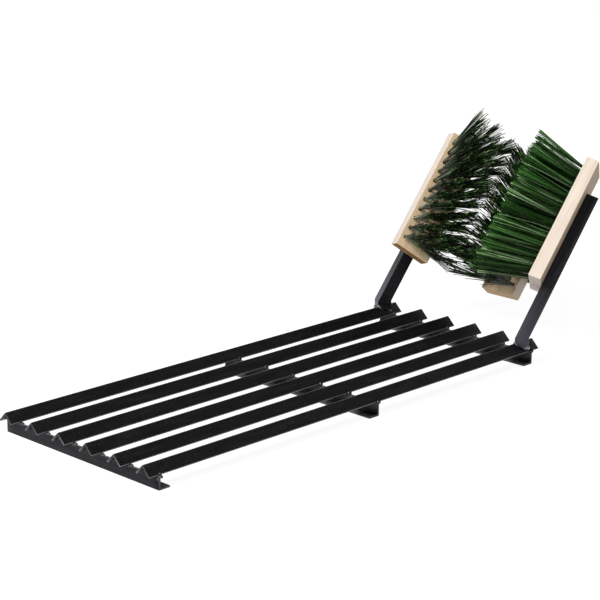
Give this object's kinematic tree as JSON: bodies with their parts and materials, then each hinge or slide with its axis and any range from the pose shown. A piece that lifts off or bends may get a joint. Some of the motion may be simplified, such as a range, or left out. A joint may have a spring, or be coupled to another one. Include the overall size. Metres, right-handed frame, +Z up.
{
  "type": "boot scraper",
  "caption": "Free-standing boot scraper: a grate of ridge-up angle iron bars on cross members, with two leaning posts that carry a brush on each side and one behind.",
  "frame": {"origin": "middle of the underside of the whole piece, on the ground", "axes": "+Y from the open end of the grate towards the brushes, +X to the right when facing the brushes, +Z up"},
  "size_m": [0.3264, 1.0666, 0.3407],
  "materials": {
    "black_iron": "satin",
    "pale_wood": "matte",
    "green_bristle": "satin",
    "screw_steel": "satin"
  },
  "bodies": {
    "root": {"scraper_bar_1": "black_iron", "scraper_bar_2": "black_iron", "scraper_bar_3": "black_iron", "scraper_bar_4": "black_iron", "scraper_bar_5": "black_iron", "scraper_bar_6": "black_iron", "cross_member_front": "black_iron", "cross_member_middle": "black_iron", "cross_member_rear": "black_iron", "post_left": "black_iron", "post_right": "black_iron", "brush_strap": "black_iron", "brush_block_left": "pale_wood", "brush_block_right": "pale_wood", "brush_block_back": "pale_wood", "bristles_left": "green_bristle", "bristles_right": "green_bristle", "bristles_back": "green_bristle", "screw_lower_left": "screw_steel", "screw_lower_right": "screw_steel", "screw_upper_left": "screw_steel", "screw_upper_right": "screw_steel", "screw_back_1": "screw_steel", "screw_back_2": "screw_steel"}
  },
  "joints": []
}
